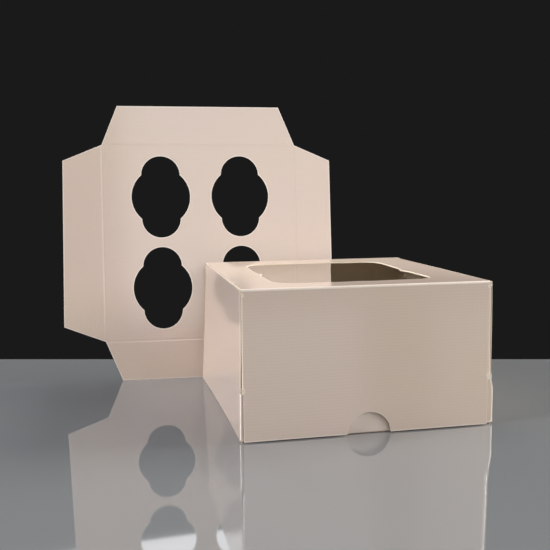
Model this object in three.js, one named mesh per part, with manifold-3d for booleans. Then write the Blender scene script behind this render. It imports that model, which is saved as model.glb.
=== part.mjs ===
// A folding carton for four cupcakes, closed, with its die-cut cup tray standing behind it.
// The carton is one sheet of coated board: a bottom panel with a back wall, two full-height side
// walls and a low front lip, and a lid hinged on the back wall. The lid has a window lined with
// clear film, two side flaps that tuck inside the side walls, and a front flap whose wings tuck in
// as well. A thumb notch in the front flap bares the lip behind it. The cup tray is a second
// sheet, creased for four flaps that fold down as its legs. It is shown flat, leaning back.
//
// Millimetres. X runs to the right along the front, Y to the back, Z up. The origin is the centre
// of the carton's underside.

import * as THREE from "three";
import { mergeVertices } from "three/addons/utils/BufferGeometryUtils.js";
import Module from "manifold-3d";

// Board and folds
const CARD = 0.5; // thickness of the board
const FOLD_RADIUS = 1.0; // outside radius of a right-angled fold
const FOLD_STEPS = 6; // facets in one fold
const CUT_RELIEF = 0.3; // gap left beside a fold so that the next panel can turn

// Carton
const BOX_WIDTH = 160;
const BOX_DEPTH = 160;
const BOX_HEIGHT = 93;
const SIDE_TOP_DROP = 0.5; // the side walls' raw top edge lies this far below the lid's face
const SIDE_EDGE_SETBACK = 2.0; // from the front flap's face to the side walls' raw front edge
const LIP_HEIGHT = 30;
const LIP_STANDOFF = 1.0; // air between the front flap and the glued tabs on the lip
const LIP_TAB_LENGTH = 24;
const BACK_TAB_LENGTH = 22;
const BACK_TAB_TOP_DROP = 8; // the back tabs stop this far below the side walls' top edge
const TAB_TAPER = 4; // how far a glue tab's end is cut back at its corners
const OVERLAP = 5; // how far a folded strip runs on into the panel that it is part of

// Lid
const TUCK_GAP = 0.3; // between a tucked flap and the side wall outside it
const SIDE_FLAP_DEPTH = 22;
const SIDE_FLAP_TAPER = 6;
const SIDE_FLAP_BACK_GAP = 8; // from the carton's back face to the side flaps
const HINGE_GAP = 0.3; // slit between the two panels that meet at a hinged fold

// Window: two rounded lobes, one towards the front and one towards the back, that meet in cusps
// at the middle of the left and right sides
const WINDOW_FLAT_HALF = 24; // half of the straight front and back edges
const WINDOW_LOBE_Y = 26; // from the middle of the lid to the middle of a lobe
const WINDOW_LOBE_REACH_X = 29.7; // from the end of the straight edge to the lobe's side
const WINDOW_LOBE_REACH_Y = 31;
const WINDOW_SQUARENESS = 5; // exponent of a lobe's corner: 2 is an ellipse, more is squarer
const WINDOW_STEPS = 28; // points along one corner of a lobe
const FILM_THICKNESS = 0.2;
const FILM_MARGIN = 8; // glued border of film around the window

// Front flap
const FLAP_FLOOR_GAP = 0.8; // the flap's lower edge is cut this far short of the table
const NOTCH_RADIUS = 14.2;
const NOTCH_STEPS = 32;
const WING_DEPTH = 30;
const WING_LIP_CLEARANCE = 3; // the wings' lower edge passes this far above the lip
const WING_TOP_DROP = 4; // below the lid's face
const WING_CORNER = 6; // radius of the wings' upper rear corner
const WING_FLAP_SPACING = 4; // along the depth, from the wings to the lid's side flaps

// Cup tray
const TRAY_FIT = 2.5; // play of the folded tray in the carton, on each side
const TRAY_FLAP_DEPTH = 31;
const TRAY_FLAP_TAPER = 12.6;
const CUP_RADIUS = 23.8;
const CUP_LOBE_RADIUS = 15.6; // finger room at the front and back of each cup
const CUP_LOBE_OFFSET = 17.6;
const CUP_PITCH_X = 63.6;
const CUP_PITCH_Y = 72.8;
const CUP_STEPS = 64;
const CREASE_WIDTH = 0.8;
const CREASE_DEPTH = 0.15;
const TRAY_YAW_DEG = -3.2;
const TRAY_LEAN_DEG = 7.35; // backwards, away from the carton
const TRAY_CENTRE_X = -82;
const TRAY_FOOT_GAP = 0.3; // from the tray's nearest foot corner to the carton's back face

// Colours
const BOARD_COLOUR = 0xe6d9cd;
const FILM_COLOUR = 0xf2f4f2;

// Places that follow from the sizes
const halfWidth = BOX_WIDTH / 2;
const front = -BOX_DEPTH / 2;
const back = BOX_DEPTH / 2;
const foldInset = FOLD_RADIUS + CUT_RELIEF;
const sideTop = BOX_HEIGHT - SIDE_TOP_DROP;
const tabFace = front + CARD + LIP_STANDOFF; // front face of the tabs glued on the lip
const lipFace = tabFace + CARD;
const innerHalf = halfWidth - CARD - TUCK_GAP; // outside face of the tucked flaps and wings
const lidUnder = BOX_HEIGHT - CARD;
const hingeHeight = BOX_HEIGHT - CARD / 2; // both hinges turn about the middle of the board
const backHinge = back - CARD / 2;
const frontHinge = front + CARD / 2;
const wallTop = hingeHeight - CARD / 2 - HINGE_GAP;
const wingLow = LIP_HEIGHT + WING_LIP_CLEARANCE;
const wingBack = front + WING_DEPTH;
const sideFlapFront = wingBack + WING_FLAP_SPACING;
const sideFlapBack = back - SIDE_FLAP_BACK_GAP;

const wasm = await Module();
wasm.setup();

// A closed three.js geometry as a solid for joining and cutting.
function solidOf(geometry) {
  const bare = new THREE.BufferGeometry().setAttribute(
    "position",
    (geometry.index ? geometry.toNonIndexed() : geometry).getAttribute("position"),
  );
  const merged = mergeVertices(bare, 1e-4);
  return new wasm.Manifold(
    new wasm.Mesh({
      numProp: 3,
      vertProperties: new Float32Array(merged.attributes.position.array),
      triVerts: new Uint32Array(merged.index.array),
    }),
  );
}

// A solid back as a flat-shaded three.js geometry.
function geometryOf(solid) {
  const mesh = solid.getMesh();
  const geometry = new THREE.BufferGeometry()
    .setAttribute("position", new THREE.BufferAttribute(mesh.vertProperties, 3))
    .setIndex(new THREE.BufferAttribute(mesh.triVerts, 1))
    .toNonIndexed();
  geometry.computeVertexNormals();
  return geometry;
}

function joined(...solids) {
  return solids.reduce((sum, solid) => sum.add(solid));
}

const axisX = new THREE.Vector3(1, 0, 0);
const axisY = new THREE.Vector3(0, 1, 0);
const axisZ = new THREE.Vector3(0, 0, 1);

function extruded(shape, length, across, up, along, origin) {
  const geometry = new THREE.ExtrudeGeometry(shape, {
    depth: length,
    bevelEnabled: false,
    curveSegments: FOLD_STEPS,
  });
  const place = new THREE.Matrix4().makeBasis(across, up, along).setPosition(origin);
  return solidOf(geometry.applyMatrix4(place));
}

// A profile drawn in Y and Z, carried along X.
function alongX(shape, from, to) {
  return extruded(shape, to - from, axisY, axisZ, axisX, new THREE.Vector3(from, 0, 0));
}

// A profile drawn in X and Z, carried along Y.
function alongY(shape, from, to) {
  const backwards = axisY.clone().negate();
  return extruded(shape, to - from, axisX, axisZ, backwards, new THREE.Vector3(0, to, 0));
}

// A profile drawn in X and Y, carried along Z.
function alongZ(shape, from, to) {
  return extruded(shape, to - from, axisX, axisY, axisZ, new THREE.Vector3(0, 0, from));
}

function polygon(points) {
  return new THREE.Shape(points.map(([a, b]) => new THREE.Vector2(a, b)));
}

function rectangle(a0, b0, a1, b1) {
  return polygon([
    [a0, b0],
    [a1, b0],
    [a1, b1],
    [a0, b1],
  ]);
}

// The section of a sheet folded square at each inner point. The points are its outside face, and
// every fold turns left, so the sheet's thickness and the fold's centre both lie on the left.
function foldedStrip(points) {
  const corners = points.map(([a, b]) => new THREE.Vector2(a, b));
  const last = corners.length - 1;
  const heading = (i) => corners[i + 1].clone().sub(corners[i]).normalize();
  const leftOf = (d) => new THREE.Vector2(-d.y, d.x);
  const shape = new THREE.Shape();
  const inwards = (point, d) => point.clone().addScaledVector(leftOf(d), CARD);
  const bend = (i, radius, clockwise) => {
    const before = heading(i - 1);
    const after = heading(i);
    const centre = corners[i]
      .clone()
      .addScaledVector(before, -FOLD_RADIUS)
      .addScaledVector(leftOf(before), FOLD_RADIUS);
    const start = leftOf(before).negate().angle();
    const end = leftOf(after).negate().angle();
    const [first, second] = clockwise ? [end, start] : [start, end];
    shape.absarc(centre.x, centre.y, radius, first, second, clockwise);
  };
  shape.moveTo(corners[0].x, corners[0].y);
  for (let i = 1; i < last; i += 1) bend(i, FOLD_RADIUS, false);
  shape.lineTo(corners[last].x, corners[last].y);
  const innerEnd = inwards(corners[last], heading(last - 1));
  shape.lineTo(innerEnd.x, innerEnd.y);
  for (let i = last - 1; i > 0; i -= 1) bend(i, FOLD_RADIUS - CARD, true);
  const innerStart = inwards(corners[0], heading(0));
  shape.lineTo(innerStart.x, innerStart.y);
  return shape;
}

// The carton's lower part: lip, bottom and back wall are one strip, and each side wall turns up
// from the bottom and ends in a tab glued on the lip and another glued inside the back wall.
function carton() {
  const trough = alongX(
    foldedStrip([
      [lipFace, LIP_HEIGHT],
      [lipFace, 0],
      [back, 0],
      [back, wallTop],
    ]),
    -halfWidth + foldInset,
    halfWidth - foldInset,
  );
  return joined(trough, sideWall(), sideWall().mirror([1, 0, 0]));
}

// The right-hand side wall with its two glue tabs.
function sideWall() {
  const bottomFront = lipFace + foldInset;
  const bottomBack = back - foldInset;
  const foot = alongY(
    foldedStrip([
      [halfWidth - FOLD_RADIUS - OVERLAP, 0],
      [halfWidth, 0],
      [halfWidth, FOLD_RADIUS + OVERLAP],
    ]),
    bottomFront,
    bottomBack,
  );
  const rawFront = front + SIDE_EDGE_SETBACK;
  const foldFront = tabFace + FOLD_RADIUS;
  const foldBack = back - CARD - FOLD_RADIUS;
  const wall = alongX(
    polygon([
      [foldFront, foldInset],
      [foldBack, foldInset],
      [foldBack, sideTop],
      [rawFront, sideTop],
      [rawFront, LIP_HEIGHT],
      [foldFront, LIP_HEIGHT],
    ]),
    halfWidth - CARD,
    halfWidth,
  );
  const lipTab = alongZ(
    foldedStrip([
      [halfWidth - LIP_TAB_LENGTH, tabFace],
      [halfWidth, tabFace],
      [halfWidth, tabFace + FOLD_RADIUS + OVERLAP],
    ]),
    foldInset,
    LIP_HEIGHT,
  ).intersect(
    alongY(
      polygon([
        [halfWidth - LIP_TAB_LENGTH + TAB_TAPER, 0],
        [halfWidth + OVERLAP, 0],
        [halfWidth + OVERLAP, LIP_HEIGHT],
        [halfWidth - LIP_TAB_LENGTH + TAB_TAPER, LIP_HEIGHT],
        [halfWidth - LIP_TAB_LENGTH, LIP_HEIGHT - TAB_TAPER],
        [halfWidth - LIP_TAB_LENGTH, TAB_TAPER],
      ]),
      front,
      tabFace + FOLD_RADIUS + OVERLAP,
    ),
  );
  const backTabTop = sideTop - BACK_TAB_TOP_DROP;
  const backTab = alongZ(
    foldedStrip([
      [halfWidth, back - CARD - FOLD_RADIUS - OVERLAP],
      [halfWidth, back - CARD],
      [halfWidth - BACK_TAB_LENGTH, back - CARD],
    ]),
    foldInset,
    backTabTop,
  ).intersect(
    alongY(
      polygon([
        [halfWidth - BACK_TAB_LENGTH, TAB_TAPER],
        [halfWidth - BACK_TAB_LENGTH + TAB_TAPER, 0],
        [halfWidth + OVERLAP, 0],
        [halfWidth + OVERLAP, backTabTop],
        [halfWidth - BACK_TAB_LENGTH + TAB_TAPER, backTabTop],
        [halfWidth - BACK_TAB_LENGTH, backTabTop - TAB_TAPER],
      ]),
      back - CARD - FOLD_RADIUS - OVERLAP,
      back,
    ),
  );
  return joined(foot, wall, lipTab, backTab);
}

// The window's outline. In one quadrant it is a superellipse about the end of the straight edge,
// at the lobe's middle, from the cusp on the lid's centre line round to the straight edge. The
// other quadrants mirror it.
function windowOutline() {
  const power = 2 / WINDOW_SQUARENESS;
  const bent = (value) => Math.sign(value) * Math.abs(value) ** power;
  const start = -Math.asin((WINDOW_LOBE_Y / WINDOW_LOBE_REACH_Y) ** (1 / power));
  const quadrant = [];
  for (let i = 0; i <= WINDOW_STEPS; i += 1) {
    const angle = start + ((Math.PI / 2 - start) * i) / WINDOW_STEPS;
    quadrant.push([
      WINDOW_FLAT_HALF + WINDOW_LOBE_REACH_X * bent(Math.cos(angle)),
      WINDOW_LOBE_Y + WINDOW_LOBE_REACH_Y * bent(Math.sin(angle)),
    ]);
  }
  const fromCusp = quadrant.slice(1);
  const toCusp = quadrant.toReversed();
  return polygon([
    ...fromCusp,
    ...toCusp.map(([x, y]) => [-x, y]),
    ...fromCusp.map(([x, y]) => [-x, -y]),
    ...toCusp.map(([x, y]) => [x, -y]),
  ]);
}

// A rounded edge along X, as thick as the board, about a hinge's axis.
function hingeBead(y) {
  const shape = new THREE.Shape().absarc(y, hingeHeight, CARD / 2, 0, 2 * Math.PI, false);
  return alongX(shape, -halfWidth + foldInset, halfWidth - foldInset);
}

function lid() {
  const panelHalf = innerHalf - FOLD_RADIUS;
  const panel = alongZ(
    rectangle(-halfWidth + foldInset, frontHinge, halfWidth - foldInset, backHinge),
    lidUnder,
    BOX_HEIGHT,
  );
  const sideNotch = alongZ(
    rectangle(panelHalf, sideFlapFront, halfWidth, sideFlapBack),
    lidUnder - CARD,
    BOX_HEIGHT + CARD,
  );
  const flapLow = BOX_HEIGHT - SIDE_FLAP_DEPTH;
  const sideFlaps = alongY(
    foldedStrip([
      [innerHalf, flapLow],
      [innerHalf, BOX_HEIGHT],
      [-innerHalf, BOX_HEIGHT],
      [-innerHalf, flapLow],
    ]),
    sideFlapFront,
    sideFlapBack,
  ).intersect(
    alongX(
      polygon([
        [sideFlapFront + SIDE_FLAP_TAPER, flapLow],
        [sideFlapBack - SIDE_FLAP_TAPER, flapLow],
        [sideFlapBack, lidUnder - FOLD_RADIUS],
        [sideFlapBack, BOX_HEIGHT],
        [sideFlapFront, BOX_HEIGHT],
        [sideFlapFront, lidUnder - FOLD_RADIUS],
      ]),
      -halfWidth,
      halfWidth,
    ),
  );
  return joined(
    panel.subtract(sideNotch).subtract(sideNotch.mirror([1, 0, 0])),
    sideFlaps,
    hingeBead(frontHinge),
    hingeBead(backHinge),
  ).subtract(alongZ(windowOutline(), lidUnder - CARD, BOX_HEIGHT + CARD));
}

function windowFilm() {
  const halfX = WINDOW_FLAT_HALF + WINDOW_LOBE_REACH_X + FILM_MARGIN;
  const halfY = WINDOW_LOBE_Y + WINDOW_LOBE_REACH_Y + FILM_MARGIN;
  return alongZ(rectangle(-halfX, -halfY, halfX, halfY), lidUnder - FILM_THICKNESS, lidUnder);
}

// The wing's outline seen from the side. Its lower edge is an arc about the front hinge, so that
// the wing swings out over the lip without touching it.
function wingOutline() {
  const swing = hingeHeight - wingLow;
  const reach = wingBack - frontHinge;
  const rise = Math.asin(reach / swing);
  const top = BOX_HEIGHT - WING_TOP_DROP;
  const shape = new THREE.Shape();
  shape.moveTo(front, top);
  shape.lineTo(front, wingLow);
  shape.lineTo(frontHinge, wingLow);
  shape.absarc(frontHinge, hingeHeight, swing, -Math.PI / 2, -Math.PI / 2 + rise, false);
  shape.absarc(wingBack - WING_CORNER, top - WING_CORNER, WING_CORNER, 0, Math.PI / 2, false);
  return shape;
}

function frontFlap() {
  const panelHalf = innerHalf - FOLD_RADIUS;
  const flapTop = wallTop;
  const edgeHalf = innerHalf - CUT_RELIEF;
  const panel = alongY(
    polygon([
      [-edgeHalf, FLAP_FLOOR_GAP],
      [edgeHalf, FLAP_FLOOR_GAP],
      [edgeHalf, wingLow],
      [panelHalf, wingLow],
      [panelHalf, flapTop],
      [-panelHalf, flapTop],
      [-panelHalf, wingLow],
      [-edgeHalf, wingLow],
    ]),
    front,
    front + CARD,
  );
  const wings = alongZ(
    foldedStrip([
      [-innerHalf, wingBack],
      [-innerHalf, front],
      [innerHalf, front],
      [innerHalf, wingBack],
    ]),
    wingLow,
    BOX_HEIGHT - WING_TOP_DROP,
  ).intersect(alongX(wingOutline(), -halfWidth, halfWidth));
  const notch = new THREE.CylinderGeometry(NOTCH_RADIUS, NOTCH_RADIUS, 4 * CARD, NOTCH_STEPS);
  return joined(panel, wings).subtract(solidOf(notch.translate(0, front + CARD / 2, 0)));
}

// The tray's flat outline with its four tapered flaps, drawn about the middle of its centre panel.
function trayBlank(halfX, halfY) {
  const outX = halfX + TRAY_FLAP_DEPTH;
  const outY = halfY + TRAY_FLAP_DEPTH;
  const shortX = halfX - TRAY_FLAP_TAPER;
  const shortY = halfY - TRAY_FLAP_TAPER;
  return polygon([
    [-shortX, -outY],
    [shortX, -outY],
    [halfX, -halfY],
    [outX, -shortY],
    [outX, shortY],
    [halfX, halfY],
    [shortX, outY],
    [-shortX, outY],
    [-halfX, halfY],
    [-outX, shortY],
    [-outX, -shortY],
    [-halfX, -halfY],
  ]);
}

// One cup hole: a circle for the cup and a smaller one towards the front and back for fingers.
function cupHole(x, y) {
  const round = (radius, offset) =>
    solidOf(
      new THREE.CylinderGeometry(radius, radius, 4 * CARD, CUP_STEPS)
        .rotateX(Math.PI / 2)
        .translate(x, y + offset, 0),
    );
  return joined(
    round(CUP_RADIUS, 0),
    round(CUP_LOBE_RADIUS, CUP_LOBE_OFFSET),
    round(CUP_LOBE_RADIUS, -CUP_LOBE_OFFSET),
  );
}

// The cup tray lies in its own X and Y here, with its show side facing +Z and creased there.
function cupTray(halfX, halfY) {
  let sheet = alongZ(trayBlank(halfX, halfY), -CARD, 0);
  for (const sideX of [-1, 1])
    for (const sideY of [-1, 1])
      sheet = sheet.subtract(cupHole((sideX * CUP_PITCH_X) / 2, (sideY * CUP_PITCH_Y) / 2));
  const half = CREASE_WIDTH / 2;
  for (const side of [-1, 1]) {
    const acrossX = rectangle(-halfX, side * halfY - half, halfX, side * halfY + half);
    const acrossY = rectangle(side * halfX - half, -halfY, side * halfX + half, halfY);
    for (const crease of [acrossX, acrossY])
      sheet = sheet.subtract(alongZ(crease, -CREASE_DEPTH, CARD));
  }
  return sheet;
}

const board = new THREE.MeshStandardMaterial({
  color: BOARD_COLOUR,
  roughness: 0.42,
  metalness: 0,
});
const clearFilm = new THREE.MeshStandardMaterial({
  color: FILM_COLOUR,
  roughness: 0.05,
  metalness: 0,
  transparent: true,
  opacity: 0.25,
});

function part(name, solid, material) {
  const mesh = new THREE.Mesh(geometryOf(solid), material);
  mesh.name = name;
  return mesh;
}

const cupcakeBox = new THREE.Group();
cupcakeBox.add(part("carton_base", carton(), board));
cupcakeBox.add(part("lid_panel", lid(), board));
cupcakeBox.add(part("window_film", windowFilm(), clearFilm));
cupcakeBox.add(part("front_flap", frontFlap(), board));

// The tray stands on the edge of its lower flap. Leaning back lowers its rear edge, so the whole
// sheet is raised by that much, and its foot corner nearest the carton is set against the back.
const trayHalfX = BOX_WIDTH / 2 - TRAY_FIT;
const trayHalfY = BOX_DEPTH / 2 - TRAY_FIT + CARD;
const lean = THREE.MathUtils.degToRad(TRAY_LEAN_DEG);
const yaw = THREE.MathUtils.degToRad(TRAY_YAW_DEG);
const tray = part("cup_tray", cupTray(trayHalfX, trayHalfY), board);
tray.position.set(0, trayHalfY + TRAY_FLAP_DEPTH, 0);
const trayLean = new THREE.Group();
trayLean.rotation.x = Math.PI / 2 - lean;
trayLean.add(tray);
const trayStand = new THREE.Group();
trayStand.rotation.z = yaw;
trayStand.position.set(
  TRAY_CENTRE_X,
  back + TRAY_FOOT_GAP + (trayHalfX - TRAY_FLAP_TAPER) * Math.sin(Math.abs(yaw)),
  CARD * Math.sin(lean),
);
trayStand.add(trayLean);
cupcakeBox.add(trayStand);

export default cupcakeBox;
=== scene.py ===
# %% [markdown]
# # A carton for four cupcakes, and its cup tray
#
# The object is folded from two sheets of pearl-coated board, half a millimetre thick. One sheet
# is the carton with its lid, the other is the tray that stands flat behind it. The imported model
# holds both at their real size. Here each sheet is drawn flat, as a die cuts it, and is then
# folded by a formula, so the folds come out round and the grain runs on from panel to panel.

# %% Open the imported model
import math

import bpy
import numpy as np
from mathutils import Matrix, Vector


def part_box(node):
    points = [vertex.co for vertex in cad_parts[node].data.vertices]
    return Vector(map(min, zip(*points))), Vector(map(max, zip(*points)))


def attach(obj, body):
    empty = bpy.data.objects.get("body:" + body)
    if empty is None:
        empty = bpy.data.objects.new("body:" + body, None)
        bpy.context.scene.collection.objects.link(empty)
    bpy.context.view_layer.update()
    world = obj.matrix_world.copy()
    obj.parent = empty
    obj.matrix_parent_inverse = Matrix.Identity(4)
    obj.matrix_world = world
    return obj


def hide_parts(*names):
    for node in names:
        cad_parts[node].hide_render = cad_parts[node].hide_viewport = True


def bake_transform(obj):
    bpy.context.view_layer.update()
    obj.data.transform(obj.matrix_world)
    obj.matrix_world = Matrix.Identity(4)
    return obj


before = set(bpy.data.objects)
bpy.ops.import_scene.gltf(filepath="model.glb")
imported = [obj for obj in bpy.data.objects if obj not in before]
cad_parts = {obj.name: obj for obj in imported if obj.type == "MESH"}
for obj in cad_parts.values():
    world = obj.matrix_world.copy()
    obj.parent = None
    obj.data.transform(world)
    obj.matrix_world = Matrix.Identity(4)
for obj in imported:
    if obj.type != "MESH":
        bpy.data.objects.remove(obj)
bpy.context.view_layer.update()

# %% [markdown]
# ## Sizes
#
# The outside of the carton's pieces is read from the imported model, in millimetres. What a sheet of board
# has everywhere, its thickness and the radius of its folds, is written as a number.

# %% Read the sizes from the imported model
MM = 0.001
BOARD = 0.5
FOLD_RADIUS = 1.0
QUARTER = FOLD_RADIUS * np.pi / 2  # length of board in a right-angled fold
FOLD_STEPS = 6
EDGE_BAND = 0.9  # width of the band of painted highlight beside a cut edge
FOLD_HIGHLIGHT_SHARE = 0.5  # share of that painted highlight that a fold gets
SLIT = 0.3  # cut between two folds that meet at a corner
HAIR = 0.01  # less than the gap between any two grid lines


def box_mm(node):
    """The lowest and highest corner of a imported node, in millimetres."""
    low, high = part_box(node)
    return np.array(low) / MM, np.array(high) / MM


_, carton_high = box_mm("carton_base")
lid_low, lid_high = box_mm("lid_panel")
film_low, film_high = box_mm("window_film")
flap_low, flap_high = box_mm("front_flap")
half_width = carton_high[0]
back = carton_high[1]
front = flap_low[1]
height = lid_high[2]
tuck_half = lid_high[0]  # outside of the flaps that tuck inside the side walls
print(f"carton {2 * half_width:.1f} x {back - front:.1f} x {height:.1f} mm")

# %% [markdown]
# ## Drawing a flat sheet
#
# A sheet is a grid of lines, and only the cells that the die leaves are kept. Every crossing
# keeps its flat place as its UV, so that the grain of the board can follow it. The lines stand
# close together in the folds and beside the cut edges, and wide apart where nothing bends.


# %% Flat cells, and the formula of a fold
def lines(*stops, step=4.0):
    """Grid lines through every stop, with the gaps between them cut to at most the step."""
    stops = sorted(set(np.round(stops, 5)))
    runs = [
        np.linspace(a, b, max(1, math.ceil((b - a) / step - 0.01)), endpoint=False)
        for a, b in zip(stops[:-1], stops[1:])
    ]
    return np.concatenate([*runs, [stops[-1]]])


def flat_grid(us, vs):
    """Flat points (u, v, 0) where the lines cross, with v counted by rows and u by columns."""
    u, v = np.meshgrid(us, vs)
    return np.stack([u, v, np.zeros_like(u)], axis=-1)


def middles(values):
    """The value half-way along each cell."""
    return (values[:-1] + values[1:]) / 2


def quads(rows, columns, keep=None, wrap=False):
    """Four-sided faces between neighbouring crossings, facing the sheet's -z side."""
    index = np.arange(rows * columns).reshape(rows, columns)
    if wrap:
        index = np.concatenate([index, index[:, :1]], axis=1)
    faces = np.stack([index[:-1, :-1], index[1:, :-1], index[1:, 1:], index[:-1, 1:]], axis=-1)
    return faces.reshape(-1, 4) if keep is None else faces[keep]


def folded(points, axis, start, side, where=True):
    """Folds up by a right angle what lies past a line.

    axis is the flat direction that crosses the line, start its place and side the way it goes.
    A stretch s past the line wraps round a cylinder, theta = s / radius, until theta is a right
    angle, and the rest of it runs on straight.
    """
    past = side * (points[..., axis] - start)
    theta = np.clip(past / FOLD_RADIUS, 0, np.pi / 2)
    straight = past - theta * FOLD_RADIUS
    arm = FOLD_RADIUS - points[..., 2]
    moved = points.copy()
    moved[..., axis] = start + side * (arm * np.sin(theta) + straight * np.cos(theta))
    moved[..., 2] = FOLD_RADIUS - arm * np.cos(theta) + straight * np.sin(theta)
    return np.where(((past > 0) & where)[..., None], moved, points)


# %% [markdown]
# ## From a sheet of no thickness to a piece of board
#
# The crossings give the outside face of the board. A Solidify modifier adds the inside face and
# the cut edge, each with its own material, and it is applied at once, so that the mesh is final.
# Vertices on a cut edge carry a 1 in the attribute "cut", and the next ones a 0: the finish uses it for a
# painted highlight, a lighter band beside each cut. A fold with a painted highlight carries a half of
# that.


# %% Build a piece of board
def joined(patches):
    """One set of points, flat places and faces, with crossings that share a flat place merged."""
    offsets = np.cumsum([0] + [len(flat) for _, flat, _ in patches])
    points = np.concatenate([points for points, _, _ in patches])
    flat = np.concatenate([flat for _, flat, _ in patches])
    faces = np.concatenate([faces + offset for (_, _, faces), offset in zip(patches, offsets)])
    used = np.unique(faces)
    _, first, same = np.unique(np.round(flat[used], 3), axis=0, return_index=True, return_inverse=True)
    renumber = np.zeros(len(points), int)
    renumber[used] = same.ravel()
    return points[used][first], flat[used][first], renumber[faces]


def patch(points, faces, flat=None):
    """Points, their flat places in the sheet, and faces, ready to be joined with others."""
    flat = points if flat is None else flat
    return points.reshape(-1, 3), flat.reshape(-1, flat.shape[-1])[:, :2], faces


def on_cut_edge(flat, faces, is_seam):
    """1 for each vertex of an edge that only one face has, unless the edge lies on a seam."""
    edges = np.sort(np.stack([faces, np.roll(faces, -1, axis=1)], axis=-1).reshape(-1, 2), axis=1)
    pairs, count = np.unique(edges, axis=0, return_counts=True)
    pairs = pairs[count == 1]
    seam = is_seam(flat[pairs][..., 0], flat[pairs][..., 1]).all(axis=1)
    mark = np.zeros(len(flat), np.float32)
    mark[pairs[~seam].ravel()] = 1
    mark[is_seam(flat[:, 0], flat[:, 1])] = 0
    return mark


def nowhere(u, v):
    return np.zeros(np.shape(u), bool)


def board_piece(name, patches, materials, place, thickness=BOARD, is_seam=nowhere, painted_highlight_at=nowhere):
    """A piece of board: the joined patches, moved to their place and given their thickness."""
    points, flat, faces = joined(patches)
    mesh = bpy.data.meshes.new(name)
    mesh.from_pydata((place(points) * MM).tolist(), [], faces.tolist())
    corner = np.empty(len(mesh.loops), np.int32)
    mesh.loops.foreach_get("vertex_index", corner)
    sheet = mesh.uv_layers.new(name="sheet")
    sheet.data.foreach_set("uv", (flat[corner] * MM).astype(np.float32).ravel())
    cut = mesh.attributes.new("cut", "FLOAT", "POINT")
    # painted highlight: folds get a share of the lighter band
    painted_light_share = FOLD_HIGHLIGHT_SHARE * painted_highlight_at(flat[:, 0], flat[:, 1])
    cut.data.foreach_set("value", np.maximum(on_cut_edge(flat, faces, is_seam), painted_light_share))
    piece = bpy.data.objects.new(name, mesh)
    bpy.context.scene.collection.objects.link(piece)
    for material in materials:
        mesh.materials.append(material)
    wall = piece.modifiers.new("board", "SOLIDIFY")
    wall.thickness = thickness * MM
    wall.offset = -1
    wall.use_even_offset = True
    wall.material_offset = min(1, len(materials) - 1)
    wall.material_offset_rim = len(materials) - 1
    return apply_modifiers(piece)


def apply_modifiers(piece):
    """Swaps the mesh for its modified form, smooth on bends and sharp along cut edges."""
    ready = piece.evaluated_get(bpy.context.evaluated_depsgraph_get())
    finished = bpy.data.meshes.new_from_object(ready)
    piece.modifiers.clear()
    piece.data = finished
    finished.shade_smooth()
    finished.set_sharp_from_angle(angle=math.radians(35))
    print(f"{piece.name}: {len(finished.vertices)} vertices, {len(finished.polygons)} faces")
    return piece


# %% [markdown]
# ## A small language for finishes
#
# A material is a tree of nodes. The class below lets sums on sockets be written as sums, so that
# a formula for the board's grain reads as a formula. Each operator adds one Math node.


# %% Sockets that can be added and multiplied
class Signal:
    """A socket whose operators add Math nodes to its tree."""

    def __init__(self, finish, socket):
        self.finish = finish
        self.socket = socket

    def math(self, operation, *others):
        return self.finish.node("ShaderNodeMath", {"operation": operation}, self, *others)

    def __add__(self, other):
        return self.math("ADD", other)

    def __mul__(self, other):
        return self.math("MULTIPLY", other)

    def __sub__(self, other):
        return self.math("SUBTRACT", other)

    def __rsub__(self, other):
        return self.finish.node("ShaderNodeMath", {"operation": "SUBTRACT"}, other, self)

    def sine(self):
        return self.math("SINE")

    def clamped(self):
        return self.finish.node("ShaderNodeClamp", {}, self)


class Finish:
    """A material being made: node() adds any node, ends_with() ends it."""

    def __init__(self, name):
        self.material = bpy.data.materials.new(name)
        self.material.use_nodes = True
        self.tree = self.material.node_tree
        self.tree.nodes.clear()

    def node(self, kind, settings, *values, out=0, **named):
        """Adds a node, sets it up, fills its sockets in order or by name, returns an output."""
        node = self.tree.nodes.new(kind)
        for key, value in settings.items():
            setattr(node, key, value)
        free = [socket for socket in node.inputs if socket.enabled]
        sockets = list(zip(free, values))
        sockets += [(node.inputs[key.replace("_", " ")], value) for key, value in named.items()]
        for socket, value in sockets:
            if isinstance(value, Signal):
                self.tree.links.new(value.socket, socket)
            elif value is not None:
                socket.default_value = value
        return Signal(self, [s for s in node.outputs if s.enabled][out])

    def mix(self, share, first, second):
        """A colour that goes from the first to the second as share goes from 0 to 1."""
        return self.node("ShaderNodeMix", {"data_type": "RGBA"}, share, first, second)

    def noise(self, where, scale, detail=2.0, roughness=0.5):
        return self.node(
            "ShaderNodeTexNoise", {}, Vector=where, Scale=scale, Detail=detail, Roughness=roughness
        )

    def ends_with(self, shader):
        output = self.tree.nodes.new("ShaderNodeOutputMaterial")
        self.tree.links.new(shader.socket, output.inputs["Surface"])
        return self.material


# %% [markdown]
# ## The coated face
#
# The outside of the board is cream, with a pearl coating: it shines broadly, like satin, and at a
# flat angle it mirrors what stands near it. A fine laid grain, two sets of lines at right angles,
# runs through it. Its colour drifts a little between a pinker and a yellower cream. The lid hangs
# in a slow curve, far too flat to see as a shape, but its mirror image is shifted by it.

# %% Finish of the coated face
GRAIN_PITCH = 0.0014
GRAIN_CROSS_PITCH = 0.0019
PINK_CREAM = (0.81, 0.65, 0.56, 1)
YELLOW_CREAM = (0.80, 0.665, 0.525, 1)
GRAIN_SHADE = (0.70, 0.57, 0.48, 1)
# painted highlight: the lighter cream of the band beside cut edges, along folds and on the lip
EDGE_HIGHLIGHT_CREAM = (0.98, 0.87, 0.76, 1)
PEARL_IOR = 1.7  # the coating mirrors more than a plain varnish
HANG_SLOPE = 0.033  # of the hanging curve, at the middle of the depth
HANG_CURVE = 0.235  # how fast that slope grows, for each metre of depth


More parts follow.
